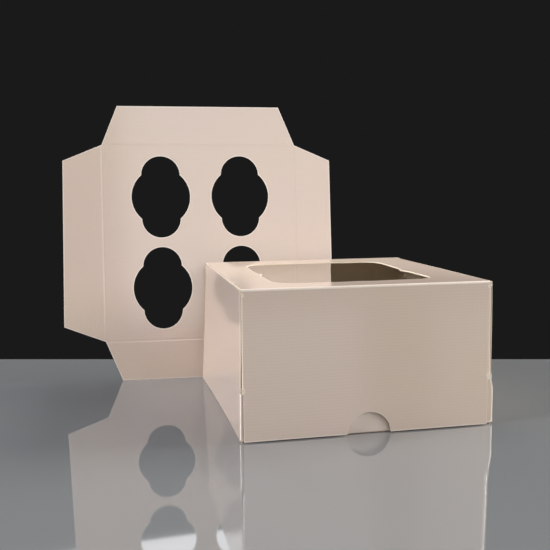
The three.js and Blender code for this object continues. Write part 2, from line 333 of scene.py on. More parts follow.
def laid_lines(finish, along, pitch):
    """Ridges across one flat direction: half of 1 + sin(2 pi u / pitch)."""
    return (along * (2 * math.pi / pitch)).sine() * 0.5 + 0.5


def hanging(finish, place, hollow):
    """A bump of height slope * y + curve * y^2 along the depth y, times hollow."""
    depth = finish.node("ShaderNodeSeparateXYZ", {}, place, out=1)
    curve = (depth * HANG_SLOPE + depth * depth * HANG_CURVE) * hollow
    return finish.node("ShaderNodeBump", {}, Strength=1.0, Distance=1.0, Height=curve)


def board_face(name, hollow=0.0):
    """The coated face, and with hollow > 0 that of a panel that hangs in a slow curve.

    A clear coat over the board makes the pearl. Its mirror image doesn't follow a bump, so a
    hollow panel has its gloss in the board's own layer, which does.
    """
    finish = Finish(name)
    sheet = finish.node("ShaderNodeUVMap", {"uv_map": "sheet"})
    place = finish.node("ShaderNodeTexCoord", {}, out=3)
    u = finish.node("ShaderNodeSeparateXYZ", {}, sheet, out=0)
    v = finish.node("ShaderNodeSeparateXYZ", {}, sheet, out=1)
    wander = finish.noise(place, 260.0) * 0.0012
    grain = laid_lines(finish, u + wander, GRAIN_PITCH)
    cross = laid_lines(finish, v + wander, GRAIN_CROSS_PITCH)
    speckle = finish.noise(place, 900.0, detail=3.0)
    tooth = grain * 0.4 + cross * 0.4 + speckle * 0.5
    drift = (finish.noise(place, 16.0, detail=3.0) * 2.2 - 0.6).clamped()
    cream = finish.mix(drift, PINK_CREAM, YELLOW_CREAM)
    cream = finish.mix((tooth * 0.6 - 0.25).clamped(), cream, GRAIN_SHADE)
    # painted highlight: where the attribute "cut" is high, the cream turns lighter
    edge = finish.node("ShaderNodeAttribute", {"attribute_name": "cut"}, out=2)
    cream = finish.mix((edge * 1.6).clamped(), cream, EDGE_HIGHLIGHT_CREAM)
    slow = hanging(finish, place, hollow)
    bump = finish.node(
        "ShaderNodeBump", {}, Strength=0.12, Distance=0.0002, Height=tooth, Normal=slow
    )
    if hollow:
        gloss = {"Roughness": tooth * 0.02 + 0.08, "IOR": PEARL_IOR}
    else:
        gloss = {"Roughness": tooth * 0.06 + 0.40, "Metallic": 0.12}
        gloss.update(Coat_Weight=1.0, Coat_Roughness=0.12, Coat_IOR=PEARL_IOR)
    shader = finish.node("ShaderNodeBsdfPrincipled", {}, Base_Color=cream, Normal=bump, **gloss)
    return finish.ends_with(shader)


FACE = board_face("pearl_board")
LID_FACE = board_face("pearl_board_lid", hollow=1.0)
print("grain every", GRAIN_PITCH / MM, "mm")

# %% [markdown]
# ## The bare back and the cut edge
#
# The inside of the board is uncoated: matt, browner, with long fibres. The die's cut shows the
# pale core of the board, and a torn fibre here and there.

# %% Finishes of the bare back and of the cut edge
BARE_BROWN = (0.90, 0.79, 0.63, 1)
BARE_LIGHT = (0.93, 0.82, 0.66, 1)
BARE_FIBRE = (0.82, 0.71, 0.55, 1)
CORE_BROWN = (0.93, 0.80, 0.60, 1)
CORE_LIGHT = (0.98, 0.90, 0.74, 1)


def board_back():
    finish = Finish("bare_board")
    place = finish.node("ShaderNodeTexCoord", {}, out=3)
    fibres = finish.noise(place, 420.0, detail=5.0, roughness=0.7)
    clouds = finish.noise(place, 22.0, detail=2.0)
    colour = finish.mix(clouds, BARE_BROWN, BARE_LIGHT)
    colour = finish.mix((fibres * 0.9 - 0.25).clamped(), colour, BARE_FIBRE)
    bump = finish.node("ShaderNodeBump", {}, Strength=0.15, Distance=0.0002, Height=fibres)
    shader = finish.node(
        "ShaderNodeBsdfPrincipled", {}, Base_Color=colour, Roughness=fibres * 0.2 + 0.65, Normal=bump
    )
    return finish.ends_with(shader)


def board_cut():
    finish = Finish("cut_board")
    place = finish.node("ShaderNodeTexCoord", {}, out=3)
    fibres = finish.noise(place, 1500.0, detail=4.0, roughness=0.7)
    colour = finish.mix(fibres, CORE_BROWN, CORE_LIGHT)
    bump = finish.node("ShaderNodeBump", {}, Strength=0.3, Distance=0.0001, Height=fibres)
    shader = finish.node(
        "ShaderNodeBsdfPrincipled", {}, Base_Color=colour, Roughness=fibres * 0.2 + 0.7, Normal=bump
    )
    return finish.ends_with(shader)


BACK = board_back()
CUT = board_cut()
BOARD_FINISHES = [FACE, BACK, CUT]
LID_FINISHES = [LID_FACE, BACK, CUT]

# %% [markdown]
# ## The clear film
#
# The window is lined with thin clear film. Seen straight on it is hardly there, and at a flat
# angle it is a mirror. A transparent shader lets the light into the carton, and a glossy one is
# mixed in where a ray enters the sheet. Both faces of real film reflect a share r of the light,
# back and forth between them, which adds up to 2 r / (1 + r).


# %% Finish of the film
def clear_film():
    finish = Finish("clear_film")
    place = finish.node("ShaderNodeTexCoord", {}, out=3)
    waves = finish.noise(place, 26.0, detail=2.0)
    scuffs = finish.noise(place, 700.0, detail=4.0, roughness=0.7)
    slow = hanging(finish, place, 1.0)
    bump = finish.node("ShaderNodeBump", {}, Strength=0.05, Distance=0.0004, Height=waves, Normal=slow)
    clear = finish.node("ShaderNodeBsdfTransparent", {}, (0.96, 0.95, 0.93, 1))
    gloss = finish.node(
        "ShaderNodeBsdfAnisotropic", {}, Color=(1, 1, 1, 1), Roughness=scuffs * 0.04 + 0.02, Normal=bump
    )
    one_face = finish.node("ShaderNodeFresnel", {}, IOR=1.45)
    leaving = finish.node("ShaderNodeNewGeometry", {}, out=6)
    both_faces = (one_face * 2.0).math("DIVIDE", one_face + 1.0)
    share = both_faces * (1.0 - leaving)
    return finish.ends_with(finish.node("ShaderNodeMixShader", {}, share, clear, gloss))


FILM = clear_film()

# %% [markdown]
# ## How the real carton sits out of true
#
# Thin board never stands quite square. The walls' feet spread, by four millimetres at the rear
# left corner and at the right front one, and the right wall's front edge stands out all the way
# up. The lip leans back where no tab holds it. The lid sinks by a millimetre in its middle, and
# the front flap's foot stands out by less than that.

# %% Small departures from square
LID_SAG = 1.1
FOOT_SPREAD_LEFT = 0.5
FOOT_SPREAD_REAR_LEFT = 3.4  # besides that of the whole left side
WALL_SPREAD_RIGHT = 1.6  # of the right wall's front edge, and half as much at its top
FOOT_SPREAD_RIGHT = 2.6  # besides that, below the lip's upper edge
SPREAD_START = 8.0  # from the lip's upper edge down to where the foot spreads fully
SPREAD_RISE = 14.0  # height over which that spread dies away
EDGE_BOW = -0.3  # of the left wall's front edge above the lip, inwards
BOW_REACH = 22.0  # depth over which the bow dies away
FLAP_LEAN = 0.7  # of the front flap's foot, forwards
FLAP_SWING = 0.5  # of its right corner, to the right
LIP_LEAN = 4.5


def right_spread(z):
    """How far the right side wall's front edge stands out at a height, most at the glued foot."""
    t = np.clip((z - lip_height + SPREAD_START) / SPREAD_RISE, 0, 1)
    wall = WALL_SPREAD_RIGHT * (2 - (z / height) ** 4) / 2
    return wall + FOOT_SPREAD_RIGHT * (1 - t * t * (3 - 2 * t))


def settle_carton(points):
    """Spreads the side walls, each by its own sums, and leans the free middle of the lip back."""
    x, y, z = points.T
    sideways = np.abs(x / half_width) ** 3
    rear = np.clip((y - front) / (back - front), 0, 1) ** 2
    low = np.clip(1 - z / height, 0, 1) ** 1.2
    above_lip = np.clip((z - lip_height) / (height - lip_height), 0, 1)
    bow = EDGE_BOW * np.sin(np.pi * above_lip) * np.exp(-(y - front) / BOW_REACH)
    left_spread = (FOOT_SPREAD_LEFT + FOOT_SPREAD_REAR_LEFT * rear) * low + bow
    spread = np.where(x < 0, left_spread, right_spread(z) * (1 - rear))
    moved = points.copy()
    moved[:, 0] += np.sign(x) * sideways * spread
    in_lip = y < lip_face + 2
    free = np.clip(1 - (x / (half_width - front_tab)) ** 2, 0, 1) * in_lip
    moved[:, 1] += LIP_LEAN * free * np.clip(z / lip_height, 0, 1)
    return moved


def lid_sag(x, y):
    """How far the lid lies below its edges: flat-bottomed across, and like a hammock along."""
    across = 1 - np.clip(np.abs(x) / tuck_half, 0, 1) ** 6
    along = 1 - np.clip(np.abs(y) / back, 0, 1) ** 1.5
    return LID_SAG * across * along


# %% [markdown]
# ## The lower part of the carton
#
# Bottom, back wall, side walls, low front lip and the four glue tabs are one sheet. Flat, it is a
# cross. The tabs are folded first, then the lip and the back wall, and the side walls last.

# %% The flat lines of the lower part
lip_height = 30.0
lip_face = front + 2.0
tab_face = lip_face - BOARD
side_top = carton_high[2]
hinge_drop = 1.5  # from the lid's face down to where a hinged fold's strip takes over
front_tab = 24.0
back_tab = 22.0
back_tab_top = side_top - 8.0
tab_taper = 4.0
RELIEF = 1.0  # cut away beside a flap or a tab
RAW_SETBACK = 0.6  # from the front flap's face to the side walls' raw front edge
strip_half = half_width - FOLD_RADIUS - SLIT  # half length of the lip and of the back wall

side_fold = half_width - FOLD_RADIUS
back_fold = back - FOLD_RADIUS
lip_fold = lip_face + FOLD_RADIUS
front_tab_fold = tab_face + FOLD_RADIUS
back_tab_fold = back - BOARD - FOLD_RADIUS


def up_wall(fold, z):
    """Flat place of a point that ends at height z on a wall that folds up at the given line."""
    return fold + QUARTER + z - FOLD_RADIUS


def fold_lines(fold, side=1):
    """The lines across one fold."""
    return fold + side * np.linspace(0, QUARTER, FOLD_STEPS + 1)


def both_sides(values):
    return np.concatenate([-np.asarray(values)[::-1], values])


wall_foot = up_wall(side_fold, FOLD_RADIUS + SLIT)
wall_lip = up_wall(side_fold, lip_height)
wall_tab = up_wall(side_fold, back_tab_top)
wall_top = up_wall(side_fold, side_top)
raw_front = front + RAW_SETBACK
front_tab_end = front_tab_fold - QUARTER - (front_tab - FOLD_RADIUS)
back_tab_end = back_tab_fold + QUARTER + (back_tab - FOLD_RADIUS)
lip_top = lip_fold - QUARTER - (lip_height - FOLD_RADIUS)
back_top = up_wall(back_fold, height - hinge_drop)

side_us = [
    *(strip_half - EDGE_BAND, strip_half, *fold_lines(side_fold), wall_foot, wall_foot + EDGE_BAND),
    *(wall_lip - EDGE_BAND, wall_lip, wall_lip + RELIEF, wall_tab - EDGE_BAND, wall_tab),
    *(wall_top - EDGE_BAND, wall_top),
]
us = lines(*both_sides(side_us), step=4.5)
vs = lines(
    *(lip_top, lip_top + EDGE_BAND, front_tab_end, front_tab_end + EDGE_BAND),
    *(front_tab_end + tab_taper, *fold_lines(lip_fold, -1), *fold_lines(front_tab_fold, -1)),
    *(raw_front, lip_fold + SLIT, lip_fold + 2 * SLIT, back_fold - SLIT, *fold_lines(back_fold)),
    *(*fold_lines(back_tab_fold), back_tab_end - tab_taper, back_tab_end - EDGE_BAND),
    *(back_tab_end, back_top),
    step=4.5,
)
print(f"lower part, flat: {us[-1] - us[0]:.0f} x {vs[-1] - vs[0]:.0f} mm")


# %% Keep the cells inside the cut, and fold them
def lower_cells(u, v):
    """True for the cells of the cross: a strip from lip to back wall, and two side walls."""
    u = np.abs(u)
    strip = u < strip_half
    bottom_side = (u < wall_foot) & (v > lip_fold + SLIT) & (v < back_fold - SLIT)
    wall = (u > wall_foot) & (v > front_tab_fold) & (v < back_tab_fold)
    raw_edge = (u > wall_lip + RELIEF) & (v > raw_front) & (v < back_tab_fold)
    lip_tab = (u > wall_foot) & (u < wall_lip) & (v < front_tab_fold) & (v > front_tab_end)
    rear_tab = (u > wall_foot) & (u < wall_tab) & (v > back_tab_fold) & (v < back_tab_end)
    return strip | bottom_side | wall | raw_edge | lip_tab | rear_tab


def tapered(points, low, high, start, side, end):
    """Pulls a tab's corners in over its last few millimetres."""
    u, v = points[..., 0], points[..., 1]
    past = side * (v - start)
    share = np.clip((past - (side * (end - start) - tab_taper)) / tab_taper, 0, 1)
    middle = (low + high) / 2
    inside = (past > 0) & (np.abs(u) > low - HAIR) & (np.abs(u) < high + HAIR)
    narrowing = 1 - share * 2 * tab_taper / (high - low)
    squeezed = np.sign(u) * (middle + (np.abs(u) - middle) * narrowing)
    moved = points.copy()
    moved[..., 0] = np.where(inside, squeezed, u)
    return moved


def corner_folds(u, v):
    """True in the four upright folds at the carton's corners."""
    front_fold = (v < front_tab_fold + HAIR) & (v > front_tab_fold - QUARTER - HAIR)
    rear_fold = (v > back_tab_fold - HAIR) & (v < back_tab_fold + QUARTER + HAIR)
    return (np.abs(u) > wall_foot - HAIR) & (front_fold | rear_fold)


# painted light: a bell-shaped lighter patch on the lip behind the thumb notch, and painted highlight on
# the corner folds
LIP_LIGHT_STRENGTH = 1.2
LIP_LIGHT_HEIGHT = 8.0  # from the lip's fold up to the middle of the painted light
LIP_LIGHT_HALF_X = 17.0
LIP_LIGHT_HALF_Z = 10.0


def shell_painted_light(u, v):
    """Painted highlight on the corner folds, and painted light on the lip behind the thumb notch, like a
    bell curve.
    """
    beside, above = u / LIP_LIGHT_HALF_X, (v - lip_fold + LIP_LIGHT_HEIGHT) / LIP_LIGHT_HALF_Z
    lip_light = LIP_LIGHT_STRENGTH * np.exp(-(beside**2) - above**2)
    return np.maximum(corner_folds(u, v), np.clip(lip_light, 0, 1))


cross = flat_grid(us, vs)
on_wall = np.abs(cross[..., 0]) > wall_foot - HAIR
below_lip = np.abs(cross[..., 0]) < wall_lip + HAIR
in_strip = np.abs(cross[..., 0]) < strip_half + HAIR
shaped = tapered(cross, wall_foot, wall_lip, front_tab_fold, -1, front_tab_end)
shaped = tapered(shaped, wall_foot, wall_tab, back_tab_fold, 1, back_tab_end)
shaped = folded(shaped, 1, front_tab_fold, -1, on_wall & below_lip)
shaped = folded(shaped, 1, back_tab_fold, 1, on_wall)
shaped = folded(shaped, 1, lip_fold, -1, in_strip)
shaped = folded(shaped, 1, back_fold, 1, in_strip)
shaped = folded(folded(shaped, 0, side_fold, 1), 0, -side_fold, -1)
kept = lower_cells(*np.meshgrid(middles(us), middles(vs)))
lower = board_piece(
    "carton_shell",
    [patch(shaped, quads(len(vs), len(us), kept), cross)],
    BOARD_FINISHES,
    settle_carton,
    is_seam=lambda u, v: v > back_top - HAIR,
    painted_highlight_at=shell_painted_light,
)
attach(lower, "base")
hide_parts("carton_base")

# %% [markdown]
# ## The window
#
# The lid's window has two lobes, one in front and one behind, that meet in a small cusp on either
# side. In one quadrant its outline is a superellipse: a circle's formula with the exponent 5 in
# place of 2, which gives an almost square corner. A ring of cells joins the outline to a rectangle
# in the lid's grid, ray by ray from the window's centre.

# %% Outline of the window, and a ring of cells round a hole
WINDOW_FLAT_HALF = 24.0
WINDOW_LOBE = 26.0
WINDOW_REACH_X = 29.7
WINDOW_REACH_Y = 31.0
WINDOW_EXPONENT = 5


def window_radius(angle):
    """Distance from the window's centre to its outline in each direction.

    The first quadrant is x = flat + a cos^(2/n) t and y = lobe + b sin^(2/n) t, from the cusp
    at y = 0 round to the straight edge. It is drawn finely and read off by direction.
    """
    power = 2 / WINDOW_EXPONENT
    start = -np.arcsin((WINDOW_LOBE / WINDOW_REACH_Y) ** (1 / power))
    t = np.linspace(start, np.pi / 2, 4000)
    x = WINDOW_FLAT_HALF + WINDOW_REACH_X * np.cos(t) ** power
    y = WINDOW_LOBE + WINDOW_REACH_Y * np.sign(np.sin(t)) * np.abs(np.sin(t)) ** power
    x, y = np.append(x, 0), np.append(y, y[-1])
    quadrant = np.arctan2(np.abs(np.sin(angle)), np.abs(np.cos(angle)))
    return np.interp(quadrant, np.arctan2(y, x), np.hypot(x, y))


def ring_patch(centre, border, radius_at, rows):
    """Cells between a hole and the points of a border, which run once round the hole.

    Each border point gives a ray from the centre. Rows lie on the rays at the given shares of the
    way from the hole to the border, and the row next to the hole keeps the width of the edge band.
    """
    arm = border - centre
    angle = np.arctan2(arm[:, 1], arm[:, 0])
    reach = np.hypot(arm[:, 0], arm[:, 1])
    hole = radius_at(angle)
    shares = np.asarray(rows)[:, None]
    radius = hole + EDGE_BAND * (shares > 0) + shares * (reach - hole - EDGE_BAND * (shares > 0))
    radius = np.concatenate([radius[:1], radius[:1] + EDGE_BAND, radius[1:]])
    x = centre[0] + radius * np.cos(angle)
    y = centre[1] + radius * np.sin(angle)
    points = np.stack([x, y, np.zeros_like(x)], axis=-1)
    return patch(points, quads(*x.shape, wrap=True)[:, ::-1])


def rectangle_border(us, vs):
    """The crossings round the edge of a grid, once round against the clock."""
    return np.concatenate(
        [
            np.stack([us[:-1], np.full(len(us) - 1, vs[0])], axis=-1),
            np.stack([np.full(len(vs) - 1, us[-1]), vs[:-1]], axis=-1),
            np.stack([us[:0:-1], np.full(len(us) - 1, vs[-1])], axis=-1),
            np.stack([np.full(len(vs) - 1, us[0]), vs[:0:-1]], axis=-1),
        ]
    )


# %% [markdown]
# ## The lid
#
# The lid's sheet runs from side flap to side flap. It is drawn with its outside down, like the
# carton's, folded, and then turned over into place.

# %% Draw, fold and place the lid
side_flap_front = -46.0
side_flap_back = 72.0
side_flap_taper = 6.0
ring_half_x = 66.0
ring_half_y = 68.0
lid_end = back - hinge_drop
lid_side_fold = tuck_half - FOLD_RADIUS
side_flap_end = lid_side_fold + QUARTER + (height - FOLD_RADIUS - lid_low[2])
raw_side = lid_side_fold + 4 * QUARTER / FOLD_STEPS

lid_us_inner = lines(-ring_half_x, 0, ring_half_x, step=2)
lid_vs_inner = lines(
    *(-ring_half_y, side_flap_front - RELIEF, side_flap_front, side_flap_front + EDGE_BAND),
    *(0, ring_half_y),
    step=2,
)
lid_side_us = lines(
    ring_half_x, lid_side_fold, *fold_lines(lid_side_fold), side_flap_end - EDGE_BAND, side_flap_end
)
lid_us = np.unique(np.concatenate([lid_us_inner, lid_side_us, -lid_side_us]).round(5))
lid_back_vs = lines(
    ring_half_y, side_flap_back - EDGE_BAND, side_flap_back, side_flap_back + RELIEF, lid_end
)
lid_vs = np.unique(np.concatenate([lines(-lid_end, -ring_half_y), lid_vs_inner, lid_back_vs]).round(5))


def lid_cells(u, v):
    """True for the panel outside the window's ring, its side flaps and its raw side edges."""
    u = np.abs(u)
    beside_flap = (v > side_flap_front) & (v < side_flap_back)
    clear_of_flap = (v < side_flap_front - RELIEF) | (v > side_flap_back + RELIEF)
    panel = (u < lid_side_fold) & ~((u < ring_half_x) & (np.abs(v) < ring_half_y))
    side_flap = (u > lid_side_fold) & beside_flap
    raw_edge = (u > lid_side_fold) & (u < raw_side) & clear_of_flap
    return panel | side_flap | raw_edge


def lid_place(points):
    """Turns the sheet over about the depth axis, lifts it to the lid's height and lets it sag."""
    x, y, z = points.T
    return np.stack([-x, y, height - z - lid_sag(x, y)], axis=-1)


lid_flat = flat_grid(lid_us, lid_vs)
past_fold = np.clip(np.abs(lid_flat[..., 0]) - lid_side_fold - QUARTER, 0, None)
flap_middle = (side_flap_front + side_flap_back) / 2
flap_half = (side_flap_back - side_flap_front) / 2
narrowing = 1 - side_flap_taper / flap_half * past_fold / (side_flap_end - lid_side_fold - QUARTER)
lid_shaped = lid_flat.copy()
lid_shaped[..., 1] = flap_middle + (lid_flat[..., 1] - flap_middle) * narrowing
beside = (lid_flat[..., 1] > side_flap_front - HAIR) & (lid_flat[..., 1] < side_flap_back + HAIR)
lid_shaped = folded(lid_shaped, 0, lid_side_fold, 1, beside)
lid_shaped = folded(lid_shaped, 0, -lid_side_fold, -1, beside)
lid_kept = lid_cells(*np.meshgrid(middles(lid_us), middles(lid_vs)))
window_ring = ring_patch(
    np.zeros(2),
    rectangle_border(lid_us_inner, lid_vs_inner),
    window_radius,
    [0, 0.15, 0.35, 0.6, 0.8, 1],
)
lid = board_piece(
    "lid_sheet",
    [patch(lid_shaped, quads(len(lid_vs), len(lid_us), lid_kept), lid_flat), window_ring],
    LID_FINISHES,
    lid_place,
    is_seam=lambda u, v: np.abs(v) > lid_end - HAIR,
)
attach(lid, "lid")
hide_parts("lid_panel")

# %% [markdown]
# ## The film under the lid
#
# The film is glued to the lid's inside all round the window, so it follows the lid's sag. Its
# border lies against the board, and only its middle can be seen.

# %% The film
FILM_GAP = 0.02  # so that the film's face and the board's don't lie in one plane


def film_place(points):
    """Under the lid's inside face, with the lid's own sag."""
    x, y, z = points.T
    return np.stack([-x, y, film_high[2] - FILM_GAP - z - lid_sag(x, y)], axis=-1)


film_us = lines(film_low[0], film_high[0], step=5)
film_vs = lines(film_low[1], film_high[1], step=5)
film = board_piece(
    "film_sheet",
    [patch(flat_grid(film_us, film_vs), quads(len(film_vs), len(film_us)))],
    [FILM],
    film_place,
    thickness=film_high[2] - film_low[2],
)
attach(film, "lid")
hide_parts("window_film")

# %% [markdown]
# ## The two hinged folds
#
# The lid is one sheet with the back wall and with the front flap. A narrow strip of the same board runs
# over each of these folds, as a quarter of a cylinder.


# %% Strips of board over the hinged folds
def hinge_strip(name, side, half_length, other_body):
    """A strip from the lid's end round the fold, side -1 in front and +1 at the back."""
    fold = side * (back - FOLD_RADIUS)
    far_end = fold + side * (QUARTER + hinge_drop - FOLD_RADIUS)
    across = lines(-half_length, -half_length + EDGE_BAND, half_length - EDGE_BAND, half_length)
    along = np.sort(np.append(fold_lines(fold, side), [side * lid_end, far_end]))
    flat = flat_grid(across, along)
    strip = board_piece(
        name,
        [patch(folded(flat, 1, fold, side), quads(len(along), len(across)), flat)],
        BOARD_FINISHES,
        lid_place,
        is_seam=lambda u, v: (np.abs(v) < lid_end + HAIR) | (np.abs(v) > abs(far_end) - HAIR),
        # painted highlight along the strip's fold
        painted_highlight_at=lambda u, v: np.abs(v) > abs(fold) - HAIR,
    )
    if other_body == "base":
        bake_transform(strip)
    else:
        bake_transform(strip)


hinge_strip("back_fold", 1, strip_half, "base")
hinge_strip("front_fold", -1, raw_side, "flap")

# %% [markdown]
# ## The front flap
#
# The flap hangs from the lid's front fold. Its wings tuck inside the side walls, and their lower
# edge is an arc about the hinge, so that they clear the lip when the flap swings out. A narrow
# slit parts each end of a wing's fold from the panel's raw edge. The lower edge of the flap has a
# half-round thumb notch: over it, each column of the grid is squeezed from below, and the columns
# stand at r cos(t), which keeps the arc even.

# %% Draw, fold and place the front flap
NOTCH_RADIUS = 14.2
NOTCH_SIDE = 3.0  # the columns are even again this far beside the notch
notch_room = 22.0  # the grid is straight again above this height
wing_low = lip_height + 3  # the wings pass this far above the lip
wing_top = height - 4  # and begin this far below the lid's face
wing_corner = 6.0
WING_SLIT = 0.2  # width of the slits at the ends of a wing's fold
wing_depth = flap_high[1] - front
swing = height - BOARD / 2 - wing_low
wing_end = lid_side_fold + QUARTER + wing_depth - FOLD_RADIUS
flap_bottom = flap_low[2]
flap_top = height - hinge_drop
notch_end = math.sqrt(NOTCH_RADIUS**2 - flap_bottom**2)
raw_flap = lid_side_fold + QUARTER / FOLD_STEPS

notch_us = NOTCH_RADIUS * np.cos(np.linspace(math.acos(notch_end / NOTCH_RADIUS), np.pi / 2, 17))
wing_us = lines(*fold_lines(lid_side_fold), wing_end - wing_corner, wing_end - EDGE_BAND, wing_end, step=2)
beside_notch = lines(notch_end + NOTCH_SIDE, lid_side_fold - EDGE_BAND, lid_side_fold)
half_us = np.concatenate([notch_us[::-1], [notch_end + EDGE_BAND], beside_notch, wing_us])
flap_us = np.unique(both_sides(half_us).round(5))
flap_vs = lines(
    *(flap_bottom, flap_bottom + EDGE_BAND, notch_room, lip_height + WING_SLIT),
    *(wing_low - WING_SLIT, wing_low, wing_low + EDGE_BAND, wing_top - wing_corner),
    *(wing_top - EDGE_BAND, wing_top, wing_top + WING_SLIT, flap_top),
)
flap_flat = flat_grid(flap_us, flap_vs)


def flap_cells(u, v):
    """True for the panel, the wings, and the panel's raw edges below, above and between them."""
    u = np.abs(u)
    wing = (v > wing_low) & (v < wing_top)
    lower = (u < raw_flap) & (v < wing_low - WING_SLIT)
    upper = (u < raw_side) & (v > wing_top + WING_SLIT)
    over_lip = (u < raw_side) & (v > lip_height + WING_SLIT) & (v < wing_low - WING_SLIT)
    return (u < lid_side_fold) | wing | lower | upper | over_lip


def notched(points):
    """Lifts the lower edge to the notch's circle, and squeezes the rows above it to match."""
    u, v = points[..., 0], points[..., 1]
    edge = np.sqrt(np.clip(NOTCH_RADIUS**2 - u**2, flap_bottom**2, None))
    share = (v - flap_bottom) / (notch_room - flap_bottom)
    moved = points.copy()
    moved[..., 1] = np.where(v < notch_room, edge + share * (notch_room - edge), v)
    return moved


def winged(points):
    """Gives the wings their lower arc about the hinge and their rounded upper corner."""
    u, v = np.abs(points[..., 0]), points[..., 1]
    reach = np.clip(u - lid_side_fold - QUARTER + FOLD_RADIUS - BOARD / 2, 0, None)
    low = height - BOARD / 2 - np.sqrt(swing**2 - reach**2)
    into_corner = np.clip(u - (wing_end - wing_corner), 0, wing_corner)
    high = wing_top - wing_corner + np.sqrt(wing_corner**2 - into_corner**2)
    share = (v - wing_low) / (wing_top - wing_low)
    on_wing = (u > lid_side_fold + QUARTER - HAIR) & (v > wing_low - HAIR) & (v < wing_top + HAIR)
    moved = points.copy()
    moved[..., 1] = np.where(on_wing, low + share * (high - low), v)
    return moved


def flap_place(points):
    """Stands the sheet up as the front face, with its foot a little out.

    On the right the folded edge above the lip follows the front edge of the side wall.
    """
    x, y, z = points.T
    lean = FLAP_LEAN * (1 - y / flap_top) ** 1.5
    swung = FLAP_SWING * (1 - y / flap_top) * np.clip(-x / half_width, 0, 1) ** 2
    past_fold = np.clip((-x - lid_side_fold) / FOLD_RADIUS, 0, 1) * (y > lip_height)
    swung = np.maximum(swung, past_fold * right_spread(y))
    return np.stack([swung - x, front + z - lean, y], axis=-1)


flap_shaped = winged(notched(flap_flat))
with_wing = (flap_flat[..., 1] > wing_low - HAIR) & (flap_flat[..., 1] < wing_top + HAIR)
flap_shaped = folded(flap_shaped, 0, lid_side_fold, 1, with_wing)
flap_shaped = folded(flap_shaped, 0, -lid_side_fold, -1, with_wing)
flap_kept = flap_cells(*np.meshgrid(middles(flap_us), middles(flap_vs)))
flap = board_piece(
    "flap_sheet",
    [patch(flap_shaped, quads(len(flap_vs), len(flap_us), flap_kept), flap_flat)],
    BOARD_FINISHES,
    flap_place,
    is_seam=lambda u, v: v > flap_top - HAIR,
)
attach(flap, "flap")
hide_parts("front_flap")

# %% [markdown]
# ## The cup tray
#
# The tray is a second sheet, flat, with four cup holes and four creased flaps. Each quadrant is a
# ring of cells from a hole to the quadrant's border, and mirrored quadrants meet point for point.
# A crease is a shallow groove that the die presses between two lines. The holes are drawn as they
# measure in the photograph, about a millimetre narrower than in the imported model.

# %% Outline of a cup hole, and one quadrant of the tray
TRAY_HALF_X = 77.5
TRAY_HALF_Y = 78.0
TRAY_FLAP = 31.0
TRAY_TAPER = 12.6
CUP_RADIUS = 23.2
CUP_LOBE_RADIUS = 15.3
CUP_LOBE_OFFSET = 17.3
CUP_X = 31.8
CUP_Y = 36.4
TRAY_SHIFT = 0.8  # further right than the solid stands
LEFT_FLAP_TURN = 0.9  # at the flap's corners
RIGHT_FLAP_SHORT = 1.8
CREASE_MARGIN = 1.3  # from the quadrants' border to the crease's middle
CREASE_HALF = 0.8
CREASE_DEPTH = 0.055


def circle_reach(angle, radius, offset):
    """Distance along each ray from the hole's centre to the far side of an offset circle."""
    up = offset * np.sin(angle)
    inside = radius**2 - (offset * np.cos(angle)) ** 2
    return np.where(inside > 0, up + np.sqrt(np.maximum(inside, 0)), 0)


def cup_radius(angle):
    """Outline of a cup hole: the furthest of its round middle and its two finger lobes."""
    middle = circle_reach(angle, CUP_RADIUS, 0)
    lobes = [circle_reach(angle, CUP_LOBE_RADIUS, side * CUP_LOBE_OFFSET) for side in (1, -1)]
    return np.maximum.reduce([middle, *lobes])


inner_x = TRAY_HALF_X - CREASE_MARGIN
inner_y = TRAY_HALF_Y - CREASE_MARGIN
meet_y = (CUP_RADIUS**2 - CUP_LOBE_RADIUS**2 + CUP_LOBE_OFFSET**2) / (2 * CUP_LOBE_OFFSET)
meet = math.atan2(meet_y, math.sqrt(CUP_RADIUS**2 - meet_y**2))
band_x, band_y = inner_x - EDGE_BAND, inner_y - EDGE_BAND
corners = np.array(
    [[0, 0], [inner_x, 0], [inner_x, band_y], [inner_x, inner_y], [band_x, inner_y], [0, inner_y]]
)
corner_angles = np.arctan2(corners[:, 1] - CUP_Y, corners[:, 0] - CUP_X)
special = np.concatenate([corner_angles, [meet, np.pi - meet, -meet, meet - np.pi]])
even = np.linspace(-np.pi, np.pi, 96, endpoint=False)
apart = np.abs((even[:, None] - special + np.pi) % (2 * np.pi) - np.pi).min(axis=1) > 0.02
ray_angles = np.sort(np.concatenate([special, even[apart]]))


def quadrant_border(angle):
    """Where each ray from the cup hole's centre leaves the quadrant's rectangle."""
    c, s = np.cos(angle), np.sin(angle)
    to_x = np.where(c > 0, inner_x - CUP_X, CUP_X) / np.maximum(np.abs(c), 1e-9)
    to_y = np.where(s > 0, inner_y - CUP_Y, CUP_Y) / np.maximum(np.abs(s), 1e-9)
    reach = np.minimum(to_x, to_y)
    return np.stack([CUP_X + reach * c, CUP_Y + reach * s], axis=-1)


border = quadrant_border(ray_angles)
print(f"{len(border)} rays round each cup hole")


# %% The four flaps beyond their creases
def crease_depth(past):
    """A groove with steep sides: depth times 1 - (t / half width)^4, t from the crease's middle."""
    t = np.clip(np.abs(past - CREASE_MARGIN) / CREASE_HALF, 0, 1)
    return CREASE_DEPTH * (1 - t**4)


